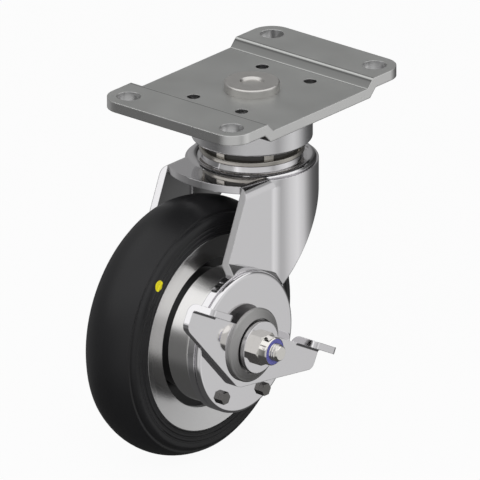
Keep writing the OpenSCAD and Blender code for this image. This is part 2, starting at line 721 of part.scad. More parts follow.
// barrel, two flanges, web and hub in one turned section
module wheel_rim() color("lightgray") at_axle() {
  w = web_t / 2;
  b = brg_d / 2 + fix_gap;
  h = hub_d / 2;
  i = rim_r - rim_t;
  rotate_extrude() polygon([
    [rim_r, rim_y], [rim_in_r, rim_y - 1.1], [rim_in_r, rim_y - 4], [i, rim_y - 7],
    [i, w + 4], [i - 1.2, w + 1.2], [i - 4, w], [h + 4, w], [h + 1.2, w + 1.2], [h, w + 4], [h, hub_near], [b, hub_near],
    [b, brg_near - brg_w], [b - 2.2, brg_near - brg_w], [b - 2.2, brg_w - brg_far], [b, brg_w - brg_far],
    [b, -hub_far], [h, -hub_far], [h, -w - 4], [h + 1.2, -w - 1.2], [h + 4, -w], [i - 4, -w], [i - 1.2, -w - 1.2], [i, -w - 4],
    [i, 7 - rim_y], [rim_in_r, 4 - rim_y], [rim_in_r, 1.1 - rim_y], [rim_r, -rim_y]]);
}

drum_back = web_t / 2;
drum_rivet_r = (drum_r - drum_wall + hub_d / 2 + drum_hub_gap) / 2;
module brake_drum() color("whitesmoke") at_axle() difference() {
  cup(drum_r, drum_back, drum_out, drum_round);
  disc(drum_r - drum_wall, drum_back + drum_base_t, drum_out + 1);
  disc(hub_d / 2 + drum_hub_gap, drum_back - 1, drum_out + 1);
  at_drum_rivets() disc(drum_rivet_d / 2 + fix_gap, drum_back - 1, drum_back + drum_base_t + 1);
}

module at_drum_rivets() for (k = [0 : 5]) rotate([0, 0, k * 60 + 30]) translate([drum_rivet_r, 0]) children();

module drum_rivets() color("gray") at_axle() at_drum_rivets() {
  disc(drum_rivet_d / 2, drum_back, drum_back + drum_base_t + e);
  disc(drum_rivet_head_d / 2, drum_back + drum_base_t, drum_back + drum_base_t + drum_rivet_head_h);
}

// ---------- brake lever group ----------
module lever_outline() {
  x = lever_half;
  polygon(round_path([
    [-x, lever_top], [x, lever_top], [x, lever_top - lever_end_h - 4], [0, -lever_low - 1], [-x, lever_top - lever_end_h - 4]],
    [0.5, 0.5, 5, 8, 5]));
}

module brake_lever() color("silver") at_lever() difference() {
  union() {
    // plate, cut down between the pads, with a bend at each pad
    difference() {
      translate([0, 0, lever_in]) linear_extrude(lever_t) lever_outline();
      translate([-(lever_half - pad_len), lever_top - lever_t, lever_in - 1]) cube([2 * (lever_half - pad_len), 20, lever_t + 2]);
      for (i = [-1, 1]) translate([i < 0 ? -lever_half - 1 : lever_half - pad_len - e, lever_top - pad_bend_r, lever_in - 1]) cube([pad_len + 1 + e, pad_bend_r + 1, lever_t + 2]);
    }
    for (i = [-1, 1]) mirror([i < 0 ? 1 : 0, 0, 0]) lever_pad();
  }
  translate([0, 0, lever_in - 1]) linear_extrude(lever_t + 2) square(cam_square + 2 * fix_gap, center = true);
}

// pad and its bend, one profile swept along the lever and trimmed round
module lever_pad() intersection() {
  translate([lever_half - pad_len, 0, 0]) rotate([90, 0, 90]) linear_extrude(pad_len) difference() {
    union() {
      translate([lever_top - pad_bend_r - e, lever_in]) square([pad_bend_r - lever_t + e, lever_t]);
      difference() {
        translate([lever_top - pad_bend_r, lever_in + pad_bend_r]) circle(r = pad_bend_r);
        translate([lever_top - pad_bend_r, lever_in + pad_bend_r]) circle(r = pad_bend_r - lever_t);
        translate([lever_top - 3 * pad_bend_r, lever_in - 1]) square([2 * pad_bend_r, 4 * pad_bend_r]);
        translate([lever_top - 3 * pad_bend_r, lever_in + pad_bend_r]) square([4 * pad_bend_r, 4 * pad_bend_r]);
      }
      translate([lever_top - lever_t, lever_in + pad_bend_r - e]) square([lever_t, pad_out + lever_t - pad_bend_r + e]);
    }
  }
  translate([lever_half - pad_len / 2, 50, (lever_in + lever_out + pad_out) / 2 - 20]) rotate([90, 0, 0]) linear_extrude(100) rounded(pad_len, lever_t + pad_out + 40, pad_corner_r);
}

module cam_sleeve() color("dimgray") at_lever() difference() {
  union() {
    disc(cam_sleeve_d / 2, shoe_in, lever_in);
    rotate([0, 0, lever_tilt]) intersection() {
      disc(cam_r, shoe_in, tip_in - face_gap);
      translate([-cam_flat, -30, shoe_in - 1]) cube([2 * cam_flat, 60, 40]);
    }
    translate([0, 0, lever_in - 1]) linear_extrude(lever_t + 1) intersection() {
      square(cam_square, center = true);
      circle(r = cam_sleeve_d / 2);
    }
  }
  disc(sleeve_r + run_gap, shoe_in - 1, lever_out + 1);
}

module hub_ring() color("silver") at_axle() difference() {
  translate([0, 0, lever_out]) rotate_extrude() polygon([[sleeve_r + run_gap, 0], [hub_ring_d / 2, 0], [hub_ring_d / 2, hub_ring_rim - 0.4],
    [hub_ring_d / 2 - 0.4, hub_ring_rim], [hub_ring_in_d / 2, hub_ring_rim + hub_ring_cone], [hub_ring_in_d / 2, 1], [sleeve_r + run_gap, 1]]);
}

// ---------- brake shoes ----------
// shoe on side s (-1 front, +1 rear), in axle coordinates
shoe_rim_in = lining_r - lining_t - shoe_t;
module shoe_sector(s, a0, a1) rotate([0, 0, 0]) polygon(concat([[0, 0]], [for (k = [0 : 12]) let (a = a0 + (a1 - a0) * k / 12) [s * 80 * cos(a), 80 * sin(a)]]));

module shoe(s) difference() {
  union() {
    translate([0, 0, shoe_in + 0.4]) linear_extrude(shoe_w - 0.8) difference() {
      intersection() {
        circle(r = lining_r - lining_t);
        shoe_sector(s, -64, 66);
      }
      circle(r = shoe_rim_in);
    }
    // web that reaches from the pin to the cam's flat
    translate([0, 0, shoe_in + 2]) linear_extrude(3.4) union() {
      difference() {
        intersection() {
          circle(r = shoe_rim_in + 0.5);
          shoe_sector(s, -74, 40);
        }
        circle(r = 17.5);
      }
      translate([s > 0 ? cam_flat + face_gap : -22, -7]) square([22 - cam_flat - face_gap, 14]);
      intersection() {
        translate([s * shoe_pin_x, -shoe_pin_z]) circle(r = shoe_pin_d / 2 + 2.4);
        translate([s > 0 ? 0.3 : -20.3, -shoe_pin_z - 10]) square([20, 20]);
      }
    }
  }
  translate([s * shoe_pin_x, -shoe_pin_z]) disc(shoe_pin_d / 2 + run_gap, shoe_in - 1, drum_out + 1);
}

module lining(s) translate([0, 0, shoe_in]) linear_extrude(shoe_w) difference() {
  intersection() {
    circle(r = lining_r);
    shoe_sector(s, -56, 58);
  }
  circle(r = lining_r - lining_t);
}

module shoe_front() color("dimgray") at_axle() shoe(-1);
module shoe_rear() color("dimgray") at_axle() shoe(1);
module lining_front() color("saddlebrown") at_axle() lining(-1);
module lining_rear() color("saddlebrown") at_axle() lining(1);

// round wire bow that hooks behind the webs
module return_spring() color("black") at_axle() union() {
  r = 15.4;
  difference() {
    translate([0, 0, shoe_in + 0.9]) rotate_extrude() translate([r, 0]) circle(r = spring_wire / 2, $fn = 24);
    translate([-40, -80, shoe_in - 2]) cube([80, 70, 8]);
  }
}

top_plate();
king_pin();
bearing_housing();
upper_race();
thrust_washer();
king_pin_nut();
fork();
lower_race();
swivel_balls();
dust_seal();
thrust_balls();
pin_bush();
axle_bolt();
bolt_washer();
axle_sleeve();
axle_spacers();
bearing_inner_rings();
nut_washer();
lock_nut();
nylon_insert();
drum_shield();
brake_cover();
cover_rivets();
shoe_pins();
return_spring();
tyre();
wheel_rim();
brake_drum();
drum_rivets();
bearing_outer_rings();
bearing_balls();
brake_lever();
cam_sleeve();
hub_ring();
shoe_front();
lining_front();
shoe_rear();
lining_rear();
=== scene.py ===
import bpy, bmesh, math
from mathutils import Vector, Matrix


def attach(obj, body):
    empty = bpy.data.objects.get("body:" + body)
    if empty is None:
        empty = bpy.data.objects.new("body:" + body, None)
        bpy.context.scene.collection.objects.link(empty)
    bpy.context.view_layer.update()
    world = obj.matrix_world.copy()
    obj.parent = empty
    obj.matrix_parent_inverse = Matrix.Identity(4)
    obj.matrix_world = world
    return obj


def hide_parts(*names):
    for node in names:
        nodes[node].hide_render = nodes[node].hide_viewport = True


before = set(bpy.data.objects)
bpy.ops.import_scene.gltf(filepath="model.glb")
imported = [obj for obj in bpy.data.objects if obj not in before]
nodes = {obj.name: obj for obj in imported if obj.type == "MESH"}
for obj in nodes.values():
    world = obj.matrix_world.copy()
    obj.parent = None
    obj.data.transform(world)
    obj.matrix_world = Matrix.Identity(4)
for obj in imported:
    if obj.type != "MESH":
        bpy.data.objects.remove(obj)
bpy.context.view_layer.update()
print("frame loaded,", len(nodes), "nodes")

scene = bpy.context.scene
scene.view_settings.view_transform = "Standard"

mm = 0.001
axle = Vector((-55.7, 0, -130.1)) * mm  # middle of the wheel
wheelRadius = 75 * mm

# camera at the photograph's angle, far away because the picture shows almost no perspective
# (a much longer lens puts the object beyond the far limit when it is looked at from other sides)
view = {
    "right": Vector((0.6412, -0.7674, 0)),
    "up": Vector((0.2869, 0.2397, 0.9275)),
    "back": Vector((-0.7118, -0.5947, 0.3739)),
    "target": Vector((-29.77, -16.47, -82.88)) * mm,
    "width": 268.9 * mm,
    "focal": 1500.0,
    "sensor": 36.0,
    "clip": (1.0, 100.0),
}


def makeCamera(s):
    camera = bpy.data.objects.new("camera", bpy.data.cameras.new("camera"))
    camera.data.sensor_width = s["sensor"]
    camera.data.lens = s["focal"]
    camera.data.clip_start, camera.data.clip_end = s["clip"]
    away = s["width"] * s["focal"] / s["sensor"]
    aim = Matrix((s["right"], s["up"], s["back"])).transposed()
    camera.matrix_world = Matrix.Translation(s["target"] + s["back"] * away) @ aim.to_4x4()
    scene.collection.objects.link(camera)
    scene.camera = camera
    print("camera placed", round(away, 2), "m away")


makeCamera(view)


# wraps an output socket, so that shader maths is written as plain expressions
class Value:
    def __init__(self, recipe, socket):
        self.recipe = recipe
        self.socket = socket

    def maths(self, operation, a, b=None):
        sockets = {0: a} if b is None else {0: a, 1: b}
        return self.recipe.add("Math", {"operation": operation}, sockets)

    def __add__(self, other):
        return self.maths("ADD", self, other)

    def __radd__(self, other):
        return self.maths("ADD", other, self)

    def __sub__(self, other):
        return self.maths("SUBTRACT", self, other)

    def __rsub__(self, other):
        return self.maths("SUBTRACT", other, self)

    def __mul__(self, other):
        return self.maths("MULTIPLY", self, other)

    def __rmul__(self, other):
        return self.maths("MULTIPLY", other, self)

    def __truediv__(self, other):
        return self.maths("DIVIDE", self, other)

    def __rtruediv__(self, other):
        return self.maths("DIVIDE", other, self)

    def __pow__(self, other):
        return self.maths("POWER", self, other)

    def __gt__(self, other):
        return self.maths("GREATER_THAN", self, other)

    def __lt__(self, other):
        return self.maths("LESS_THAN", self, other)

    def __abs__(self):
        return self.maths("ABSOLUTE", self)

    def atLeast(self, other):
        return self.maths("MAXIMUM", self, other)


# the node tree of one material or of the world
class Recipe:
    def __init__(self, owner):
        owner.use_nodes = True
        self.tree = owner.node_tree
        self.tree.nodes.clear()

    def add(self, kind, settings=None, sockets=None, out=0):
        node = self.tree.nodes.new("ShaderNode" + kind)
        for key, value in (settings or {}).items():
            if key == "stops":
                self.setStops(node.color_ramp, value)
            else:
                setattr(node, key, value)
        for key, value in (sockets or {}).items():
            socket = node.inputs[key]
            if isinstance(value, Value):
                self.tree.links.new(value.socket, socket)
            elif socket.type == "RGBA":
                socket.default_value = (*value, 1)
            else:
                socket.default_value = value
        return Value(self, node.outputs[out]) if node.outputs else None

    def setStops(self, ramp, stops):
        while len(ramp.elements) < len(stops):
            ramp.elements.new(0.5)
        for element, (place, grey) in zip(ramp.elements, stops):
            element.position = place
            element.color = (grey, grey, grey, 1)

    def place(self):
        return self.add("TexCoord", out="Object")

    def parts(self, vector):
        node = self.add("SeparateXYZ", {}, {0: vector}).socket.node
        return [Value(self, output) for output in node.outputs]

    def noise(self, vector, scale, detail):
        return self.add("TexNoise", {}, {"Vector": vector, "Scale": scale, "Detail": detail})

    def lines(self, value, scale):
        # noise that changes along one coordinate only, such as tool marks
        sockets = {"W": value, "Scale": scale, "Detail": 3.0}
        return self.add("TexNoise", {"noise_dimensions": "1D"}, sockets)

    def smooth(self, value, low, high):
        return self.add("MapRange", {"interpolation_type": "SMOOTHSTEP"}, {0: value, 1: low, 2: high})

    def mixColour(self, share, a, b, blend="MIX"):
        return self.add("Mix", {"data_type": "RGBA", "blend_type": blend}, {0: share, 6: a, 7: b}, 2)

    def reach(self, a, b):
        # distance from the line or corner where both values are 0
        return (a * a + b * b) ** 0.5

    def facing(self, direction, low, high):
        # 0 to 1 as a face turns towards a direction of the shared frame
        normal = self.add("TexCoord", out="Normal")
        sockets = {0: normal, 1: Vector(direction).normalized()}
        along = self.add("VectorMath", {"operation": "DOT_PRODUCT"}, sockets, 1)
        return self.smooth(along, low, high)

    def bumped(self, height, strength, distance, edge):
        # pressed and machined edges catch a thin line of light
        rounded = self.add("Bevel", {"samples": 4}, {"Radius": edge * mm})
        sockets = {"Height": height, "Strength": strength, "Distance": distance * mm, "Normal": rounded}
        return self.add("Bump", {}, sockets)

    def finish(self, shader, kind="OutputMaterial"):
        self.add(kind, {}, {"Surface": shader})


# mirror sheet: faint patches and a fine ripple
mirrorSheet = {"rippleDepth": 0.05}


def polished(recipe, s):
    place = recipe.place()
    patches = recipe.noise(place, s["patchScale"], 3)
    fine = recipe.noise(place, s["fineScale"], 2)
    return {"Roughness": s["roughness"] + (patches - 0.5) * s["patchRough"],
            "Normal": recipe.bumped(fine, s["fineBump"], mirrorSheet["rippleDepth"], s["edge"])}


# pressed fork: mirror faces, duller sheared edges, painted shade on the inner faces of the legs, and painted
# shade on the step above the round end
forkSheet = {
    "edgeFacing": (-0.919, 0, 0.394),
    "stepFacing": (0.279, -0.707, 0.65),
    "cutRange": (0.93, 0.97),  # a face counts as edge or step between these cosines
    "insideRange": (0.5, 0.9),
    "insideFrom": 20 * mm,  # both legs stand farther out than this
}


def pressed(recipe, s):
    form = forkSheet
    made = polished(recipe, s)
    x, y, z = recipe.parts(recipe.place())
    sheared = recipe.facing(form["edgeFacing"], *form["cutRange"]) * (y < 0)
    # painted shade: the step above the round end is coloured dark
    paintedStepShade = recipe.facing(form["stepFacing"], *form["cutRange"])
    # painted shade: the inner faces of both legs are coloured dark
    nearInsideShade = recipe.facing((0, 1, 0), *form["insideRange"]) * (y < -form["insideFrom"])
    farInsideShade = recipe.facing((0, -1, 0), *form["insideRange"]) * (y > form["insideFrom"])
    paintedInsideShade = nearInsideShade + farInsideShade
    colour = recipe.mixColour(sheared, s["colour"], s["edgeColour"])
    colour = recipe.mixColour(paintedInsideShade, colour, s["insidePaintedShade"])
    made["Base Color"] = recipe.mixColour(paintedStepShade, colour, s["stepPaintedShade"])
    roughness = made["Roughness"] + sheared * s["edgeRough"]
    made["Roughness"] = roughness + paintedInsideShade * s["insideRough"] + paintedStepShade * s["stepRough"]
    return made


# lathe marks round the axle
latheWork = {"patchScale": 60, "patchRough": 0.08, "ringRough": 0.12}


def turned(recipe, s):
    work = latheWork
    place = recipe.place()
    x, y, z = recipe.parts(place)
    rings = recipe.lines(recipe.reach(x - axle.x, z - axle.z), s["ringScale"])
    along = recipe.lines(y, s["ringScale"])
    patches = recipe.noise(place, work["patchScale"], 2)
    colour = recipe.mixColour(rings, s["colour"], s["worn"])
    if "recess" in s:
        # painted shade: the deep recess beside the brake drum, behind the flat face, is coloured near black
        paintedRecessShade = (y > -s["recess"] * mm) * (y < 0)
        colour = recipe.mixColour(paintedRecessShade, colour, s["recessPaintedShade"])
    roughness = s["roughness"] + (rings - 0.5) * work["ringRough"]
    return {"Base Color": colour,
            "Roughness": roughness + (patches - 0.5) * work["patchRough"],
            "Normal": recipe.bumped(rings + along, s["ringBump"], s["ringDepth"], s["edge"])}


# dull zinc on the pressed plate: cut sides and hole walls carry painted light, small holes and faces turned
# down painted shade, and the bends painted highlight lines beside a painted shaded slope
plateSheet = {
    "halfLength": 75 * mm,
    "halfWidth": 50 * mm,
    "corner": 12 * mm,
    "cutBand": 1.5 * mm,  # a side face within this of the outline is a cut side, and else the wall of a hole
    "boltHolesFrom": 40 * mm,  # the small holes lie nearer to the middle than this
    "bendFrom": 40 * mm,
    "bendWidth": 8 * mm,
    "upRange": (0.35, 0.6),
    "underRange": (0.3, 0.6),
    "grainStretch": (1, 30, 1),
    "grainDepth": 0.05,
    "patchScale": 35,
    "patchRough": 0.12,
}


def satin(recipe, s):
    form = plateSheet
    place = recipe.place()
    x, y, z = recipe.parts(place)
    stretched = recipe.add("Mapping", {}, {"Vector": place, "Scale": form["grainStretch"]})
    grain = recipe.noise(stretched, s["grainScale"], 3)
    patches = recipe.noise(place, form["patchScale"], 3)
    up = recipe.facing((0, 0, 1), *form["upRange"])
    # painted shade: faces turned down get a dark colour
    underPaintedShade = recipe.facing((0, 0, -1), *form["underRange"])
    beyondX = (abs(x) - (form["halfLength"] - form["corner"])).atLeast(0)
    beyondY = (abs(y) - (form["halfWidth"] - form["corner"])).atLeast(0)
    outline = recipe.reach(beyondX, beyondY) > form["corner"] - form["cutBand"]
    # painted light: cut sides and the walls of the large holes are coloured brighter than the top, the small
    # holes' walls get a darker painted shade
    hole = recipe.mixColour(abs(x) > form["boltHolesFrom"], s["smallHoleShade"], s["hole"])
    cut = recipe.mixColour(outline, hole, s["cut"])
    # painted highlights and painted shade across each bend
    acrossBend = (abs(x) - form["bendFrom"]) / form["bendWidth"]
    bendPaintedLight = recipe.add("ValToRGB", {"stops": s["bendPaintedLightStops"]}, {0: acrossBend})
    colour = recipe.mixColour(patches, s["colour"], s["worn"])
    colour = recipe.mixColour(1.0, colour, bendPaintedLight, "MULTIPLY")
    colour = recipe.mixColour(up, cut, colour)
    roughness = s["cutRough"] * (1 - up) + s["roughness"] * up
    return {"Base Color": recipe.mixColour(underPaintedShade, colour, s["underPaintedShade"]),
            "Roughness": roughness + (patches - 0.5) * form["patchRough"],
            "Normal": recipe.bumped(grain, s["grainBump"], form["grainDepth"], s["edge"])}


# moulded rubber, with the painted dot on the brake side
moulding = {
    "fineScale": 900,
    "fineRough": 0.1,
    "fineBump": 0.15,
    "fineDepth": 0.05,
    "patchScale": 30,
    "edge": 0.5,
    "dotBlur": 0.15,
    "dotSide": -10 * mm,  # the dot is on the sidewall beyond this
}


def rubber(recipe, s):
    work = moulding
    place = recipe.place()
    x, y, z = recipe.parts(place)
    fine = recipe.noise(place, work["fineScale"], 2)
    patches = recipe.noise(place, work["patchScale"], 2)
    dot = s["dot"]
    reach = recipe.reach(x - dot["x"] * mm - axle.x, z - dot["z"] * mm - axle.z)
    outer = (dot["radius"] + work["dotBlur"]) * mm
    inner = (dot["radius"] - work["dotBlur"]) * mm
    mark = recipe.smooth(reach, outer, inner) * (y < work["dotSide"])
    black = recipe.mixColour(patches, s["colour"], s["worn"])
    return {"Base Color": recipe.mixColour(mark, black, dot["colour"]),
            "Roughness": s["roughness"] + (fine - 0.5) * work["fineRough"],
            "Normal": recipe.bumped(fine, work["fineBump"], work["fineDepth"], work["edge"])}


# slight unevenness only
plainWork = {"patchScale": 200, "patchRough": 0.1, "bump": 0.1, "depth": 0.1, "edge": 0.2}


def plain(recipe, s):
    work = plainWork
    patches = recipe.noise(recipe.place(), work["patchScale"], 3)
    return {"Base Color": recipe.mixColour(patches, s["colour"], s["worn"]),
            "Roughness": s["roughness"] + (patches - 0.5) * work["patchRough"],
            "Normal": recipe.bumped(patches, work["bump"], work["depth"], work["edge"])}


# depths and edge radii are in millimetres, scales are the noise's own
mirrorLook = {"metallic": 1.0, "patchScale": 40, "patchRough": 0.03, "fineScale": 400, "fineBump": 0.02}
smallPartLook = {"metallic": 1.0, "patchScale": 200, "patchRough": 0.05, "fineScale": 900, "fineBump": 0.05}

finishes = {
    "mirrorSteel": (polished, {
        **mirrorLook, "colour": (0.84, 0.83, 0.845), "roughness": 0.07, "edge": 0.5}),
    "housingSteel": (polished, {
        "colour": (0.74, 0.735, 0.745), "roughness": 0.2, "metallic": 1.0, "edge": 0.6,
        "patchScale": 60, "patchRough": 0.06, "fineScale": 600, "fineBump": 0.04}),
    "ballSteel": (polished, {
        "colour": (0.80, 0.79, 0.78), "roughness": 0.1, "metallic": 1.0, "edge": 0.2,
        "patchScale": 80, "patchRough": 0.03, "fineScale": 600, "fineBump": 0.02}),
    "forkSteel": (pressed, {
        **mirrorLook, "colour": (0.84, 0.83, 0.845), "roughness": 0.07, "edge": 0.8,
        "edgeColour": (0.60, 0.595, 0.60), "edgeRough": 0.3,
        # painted shade: dark colours for the step and for the legs' inner faces
        "stepPaintedShade": (0.25, 0.25, 0.25), "stepRough": 0.15,
        "insidePaintedShade": (0.16, 0.16, 0.16), "insideRough": 0.25}),
    "plateZinc": (satin, {
        "colour": (0.47, 0.475, 0.465), "worn": (0.56, 0.565, 0.555), "underPaintedShade": (0.22, 0.22, 0.215),
        "cut": (0.80, 0.80, 0.79), "hole": (0.70, 0.70, 0.70), "smallHoleShade": (0.4, 0.4, 0.4),
        "roughness": 0.42, "cutRough": 0.28, "metallic": 1.0,
        "grainScale": 120, "grainBump": 0.12, "edge": 0.8,
        # painted highlights and shade across a bend, from its inner to its outer edge
        "bendPaintedLightStops": [(0, 1.0), (0.06, 0.3), (0.12, 1.3), (0.18, 0.5), (0.5, 0.44), (0.6, 0.2),
                      (0.68, 1.25), (0.77, 1.25), (0.84, 0.2), (0.9, 1.0)]}),
    "pinZinc": (plain, {
        "colour": (0.62, 0.605, 0.585), "worn": (0.68, 0.665, 0.645), "roughness": 0.33, "metallic": 1.0}),
    "raceSteel": (polished, {
        "colour": (0.46, 0.44, 0.405), "roughness": 0.2, "metallic": 1.0, "edge": 0.4,
        "patchScale": 80, "patchRough": 0.05, "fineScale": 600, "fineBump": 0.03}),
    "darkRivet": (polished, {
        **smallPartLook, "colour": (0.17, 0.165, 0.16), "roughness": 0.16, "edge": 0.35}),
    "ringSteel": (turned, {
        "colour": (0.44, 0.435, 0.43), "worn": (0.50, 0.495, 0.49), "roughness": 0.42, "metallic": 1.0,
        "ringScale": 2500, "ringBump": 0.5, "ringDepth": 0.2, "edge": 0.4}),
    "turnedSteel": (turned, {
        "colour": (0.63, 0.625, 0.62), "worn": (0.69, 0.685, 0.68), "roughness": 0.22, "metallic": 1.0,
        "ringScale": 2500, "ringBump": 0.5, "ringDepth": 0.1, "edge": 0.3}),
    "shieldSteel": (polished, {
        "colour": (0.82, 0.81, 0.80), "roughness": 0.26, "metallic": 1.0, "edge": 0.5,
        "patchScale": 50, "patchRough": 0.04, "fineScale": 400, "fineBump": 0.02}),
    "rimMetal": (turned, {
        "colour": (0.68, 0.675, 0.675), "worn": (0.74, 0.735, 0.735), "roughness": 0.2, "metallic": 1.0,
        "ringScale": 3000, "ringBump": 0.3, "ringDepth": 0.1, "edge": 0.4,
        "recess": 17.25, "recessPaintedShade": (0.02, 0.02, 0.02)}),
    "brightZinc": (polished, {
        **smallPartLook, "colour": (0.86, 0.84, 0.80), "roughness": 0.1, "edge": 0.15}),
    "innerSteel": (plain, {
        "colour": (0.35, 0.35, 0.355), "worn": (0.42, 0.42, 0.42), "roughness": 0.4, "metallic": 1.0}),
    # painted shade: the brake drum, seen only through the dark gap inside the rim, is coloured near black
    "drumIronPaintedShade": (plain, {
        "colour": (0.025, 0.025, 0.026), "worn": (0.04, 0.04, 0.04), "roughness": 0.55, "metallic": 1.0}),
    "tyreRubber": (rubber, {
        "colour": (0.010, 0.010, 0.011), "worn": (0.014, 0.014, 0.015), "roughness": 0.42,
        "more": {"Specular IOR Level": 0.35},
        "dot": {"x": -47.2, "z": 42.7, "radius": 3.25, "colour": (1.0, 0.88, 0.01)}}),  # from the axle
    "sealRubber": (plain, {
        "colour": (0.07, 0.067, 0.063), "worn": (0.09, 0.087, 0.082), "roughness": 0.5}),
    "bushBronze": (plain, {
        "colour": (0.45, 0.30, 0.13), "worn": (0.50, 0.35, 0.17), "roughness": 0.4, "metallic": 1.0}),
    "blueNylon": (plain, {
        "colour": (0.14, 0.145, 0.50), "worn": (0.17, 0.17, 0.55), "roughness": 0.4}),
    "brakeLining": (plain, {
        "colour": (0.10, 0.075, 0.06), "worn": (0.15, 0.12, 0.09), "roughness": 0.8}),
}

nodeFinish = {
    "plateZinc": ["top_plate"],
    "pinZinc": ["king_pin"],
    "housingSteel": ["bearing_housing"],
    "ballSteel": ["upper_race", "swivel_balls", "thrust_balls", "bearing_inner_rings", "bearing_outer_rings",
                  "bearing_balls"],
    "forkSteel": ["fork"],
    "shieldSteel": ["drum_shield"],
    "mirrorSteel": ["brake_cover", "brake_lever", "nut_washer"],
    "raceSteel": ["lower_race"],
    "ringSteel": ["hub_ring"],
    "turnedSteel": ["bolt_washer"],
    "brightZinc": ["lock_nut", "axle_bolt"],
    "darkRivet": ["cover_rivets"],
    "innerSteel": ["thrust_washer", "king_pin_nut", "axle_sleeve", "axle_spacers", "shoe_pins",
                   "return_spring", "drum_rivets", "cam_sleeve", "shoe_front", "shoe_rear"],
    "drumIronPaintedShade": ["brake_drum"],
    "rimMetal": ["wheel_rim"],
    "tyreRubber": ["tyre"],
    "sealRubber": ["dust_seal"],
    "bushBronze": ["pin_bush"],
    "blueNylon": ["nylon_insert"],
    "brakeLining": ["lining_front", "lining_rear"],
}

materials = {}
for name, (build, settings) in finishes.items():
    made = bpy.data.materials.new(name)
    recipe = Recipe(made)
    sockets = {"Base Color": settings["colour"], "Metallic": settings.get("metallic", 0.0)}
    sockets.update(settings.get("more", {}))
    sockets.update(build(recipe, settings))
    recipe.finish(recipe.add("BsdfPrincipled", {}, sockets))
    materials[name] = made
for finish, members in nodeFinish.items():
    for member in members:
        data = nodes[member].data
        data.materials.clear()
        data.materials.append(materials[finish])
print("materials made:", len(materials), "nodes dressed:", sum(len(v) for v in nodeFinish.values()))


# ring of a closed section, given as (radius, height) pairs, turned about Z
def turnSection(shape, section, segments):
    points = [shape.verts.new((r * mm, 0, h * mm)) for r, h in section]
    edges = [shape.edges.new((a, b)) for a, b in zip(points, points[1:] + points[:1])]
    bmesh.ops.spin(shape, geom=points + edges, cent=(0, 0, 0), axis=(0, 0, 1), angle=2 * math.pi,
                   steps=segments, use_merge=True)


# six-sided block along Z
def makeHex(shape, across, low, high):
    made = bmesh.ops.create_circle(shape, cap_ends=True, segments=6, radius=across / math.sqrt(3) * mm)
    verts = made["verts"]
    bmesh.ops.rotate(shape, verts=verts, cent=(0, 0, 0), matrix=Matrix.Rotation(math.pi / 6, 3, "Z"))
    bmesh.ops.translate(shape, verts=verts, vec=(0, 0, low * mm))
    raised = bmesh.ops.extrude_face_region(shape, geom=[verts[0].link_faces[0]], use_keep_orig=True)
    top = [g for g in raised["geom"] if isinstance(g, bmesh.types.BMVert)]
    bmesh.ops.translate(shape, verts=top, vec=(0, 0, (high - low) * mm))
    return set(verts) | set(top)


# the cone that cuts a hexagon's corners back, as flat cuts whose normals lean outwards and along Z
hexCone = {"cuts": 36, "out": 0.5, "along": 0.866}


# six-sided block along Z, with its corners cut back by the cone at one end
def turnHex(shape, across, low, high, chamferRadius, upwards):
    cone = hexCone
    block = makeHex(shape, across, low, high)
    end = high if upwards else low
    along = cone["along"] if upwards else -cone["along"]
    for cut in range(cone["cuts"]):
        a = 2 * math.pi * cut / cone["cuts"]
        normal = Vector((math.cos(a) * cone["out"], math.sin(a) * cone["out"], along))
        point = Vector((math.cos(a) * chamferRadius * mm, math.sin(a) * chamferRadius * mm, end * mm))
        geometry = [g for v in block for g in (v, *v.link_edges, *v.link_faces)]
        result = bmesh.ops.bisect_plane(shape, geom=list(dict.fromkeys(geometry)), plane_co=point,
                                        plane_no=normal, clear_outer=True, dist=1e-7)
        rim = [g for g in result["geom_cut"] if isinstance(g, bmesh.types.BMEdge)]
        if rim:
            bmesh.ops.holes_fill(shape, edges=rim, sides=0)
        block = {v for v in block if v.is_valid} | {v for e in rim if e.is_valid for v in e.verts}


# thread ridge wound round Z in whole turns that end at the upper height
def turnThread(shape, ridge, root, crest, pitch, low, high):
    turns = int((high - low) / pitch)
    start = high - (turns + ridge["foot"]) * pitch
    section = [(root, 0), (crest, ridge["flank"]), (crest, ridge["land"]), (root, ridge["foot"])]
    points = [shape.verts.new((r * mm, 0, (start + h * pitch) * mm)) for r, h in section]
    first = shape.faces.new(points)
    bmesh.ops.spin(shape, geom=points + list(first.edges) + [first], cent=(0, 0, 0), axis=(0, 0, 1),
                   dvec=(0, 0, pitch / ridge["steps"] * mm), angle=2 * math.pi * turns,
                   steps=turns * ridge["steps"], use_duplicate=False)
    opened = [e for e in shape.edges if e.is_valid and len(e.link_faces) == 1]
    if opened:
        bmesh.ops.holes_fill(shape, edges=opened, sides=0)


# what the bolt and the nut have in common
fastener = {"body": "fork", "finish": "brightZinc", "slot": "turned_steel", "sharpFrom": math.radians(32)}


# turns a shape made along Z onto the axle, outwards on the brake side, and gives it to a CAD body
def onAxle(name, shape, replaced):
    s = fastener
    bmesh.ops.remove_doubles(shape, verts=shape.verts, dist=1e-6)
    ontoAxle = Matrix(((1, 0, 0, axle.x), (0, 0, -1, 0), (0, 1, 0, axle.z), (0, 0, 0, 1)))
    bmesh.ops.transform(shape, matrix=ontoAxle, verts=shape.verts)
    bmesh.ops.recalc_face_normals(shape, faces=shape.faces)
    data = bpy.data.meshes.new(name)
    shape.to_mesh(data)
    shape.free()
    data.shade_smooth()
    data.set_sharp_from_angle(angle=s["sharpFrom"])
    piece = bpy.data.objects.new(name, data)
    scene.collection.objects.link(piece)
    data.materials.append(materials[s["finish"]])
    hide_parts(replaced)
    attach(piece, s["body"])
    print("made", name, len(data.polygons), "faces")


